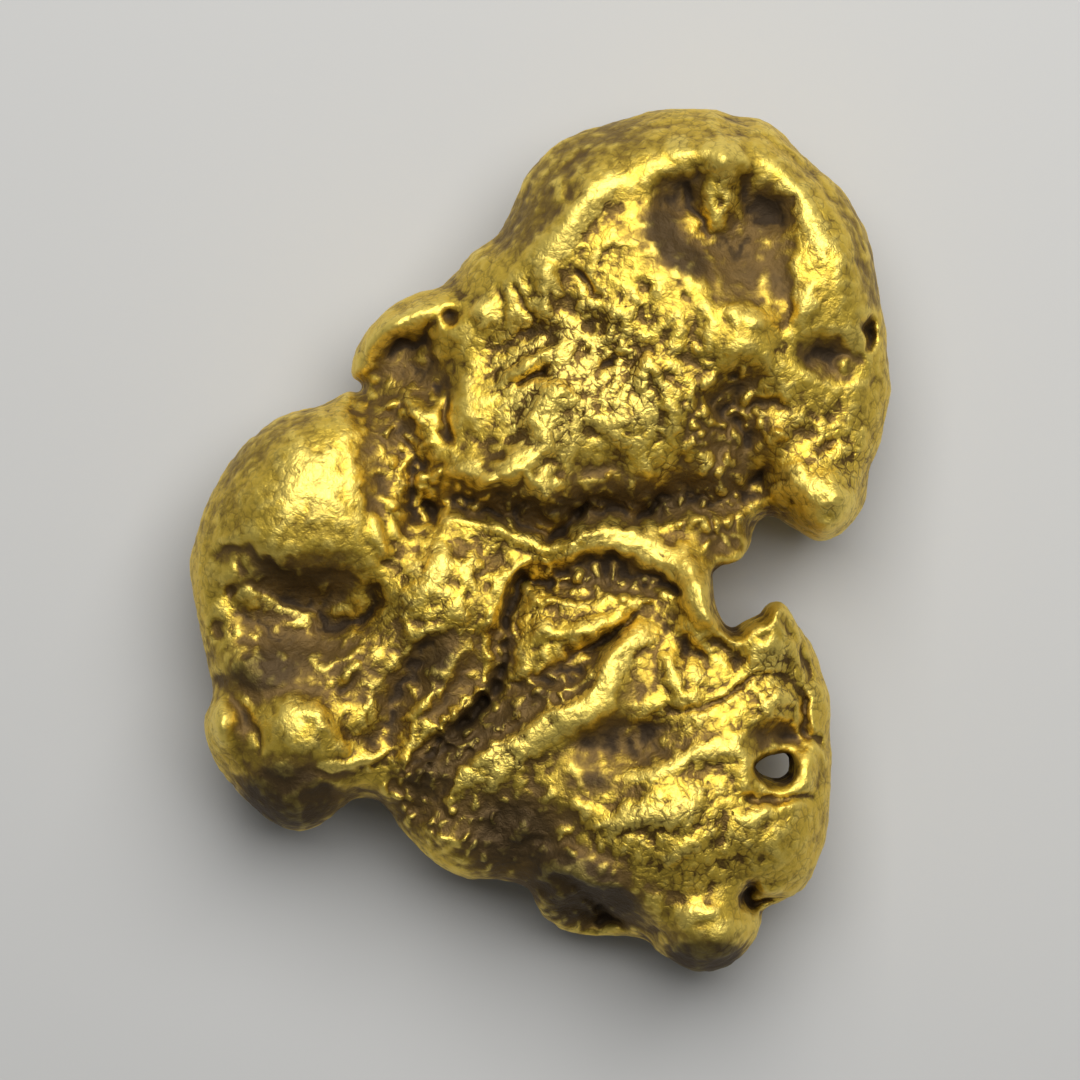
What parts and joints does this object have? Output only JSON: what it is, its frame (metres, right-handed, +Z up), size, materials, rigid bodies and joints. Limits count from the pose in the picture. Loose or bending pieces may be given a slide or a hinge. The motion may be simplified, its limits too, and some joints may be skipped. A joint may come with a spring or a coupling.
{
  "type": "gold nugget",
  "caption": "Natural gold nugget, water-worn and lumpy, with a deep cleft between its lobes, a small hole through its thin side and flat worn spots to lie on.",
  "frame": {"origin": "on the ground plane, under the middle of the nugget's box", "axes": "+Z up, away from the worn flats it lies on; +Y along its length, towards the middle of the larger lobe"},
  "size_m": [0.022, 0.027, 0.0078],
  "materials": {
    "gold": "worn native gold, satin on the worn flanks, crumpled and darker in the hollows"
  },
  "bodies": {
    "root": {"gold_nugget": "gold"}
  },
  "joints": []
}
